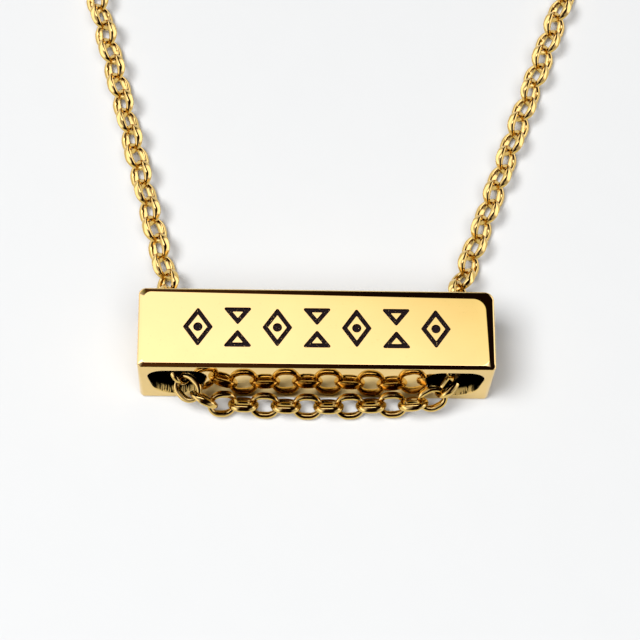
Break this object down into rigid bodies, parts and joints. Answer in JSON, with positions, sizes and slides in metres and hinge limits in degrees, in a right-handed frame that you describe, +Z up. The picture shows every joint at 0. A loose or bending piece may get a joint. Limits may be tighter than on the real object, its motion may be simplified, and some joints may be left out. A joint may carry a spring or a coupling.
{
  "type": "bar necklace",
  "caption": "Square bar pendant with an engraved row of marks and a hole through each end, threaded on one fine cable chain that closes with a flat hook clasp.",
  "frame": {"origin": "middle of the bar's back, where the bar rests on the surface", "axes": "+X along the bar's row of marks, +Y away from the slack strand towards the clasp, +Z up through the engraved face"},
  "size_m": [0.0997, 0.1792, 0.0077],
  "materials": {
    "polished_gold": "mirror polished, with black-filled engraved lines",
    "chain_gold": "polished wire",
    "clasp_gold": "polished"
  },
  "bodies": {
    "root": {"bar": "polished_gold", "chain": "chain_gold", "clasp": "clasp_gold", "clasp_ring": "chain_gold", "end_ring": "chain_gold"}
  },
  "joints": []
}
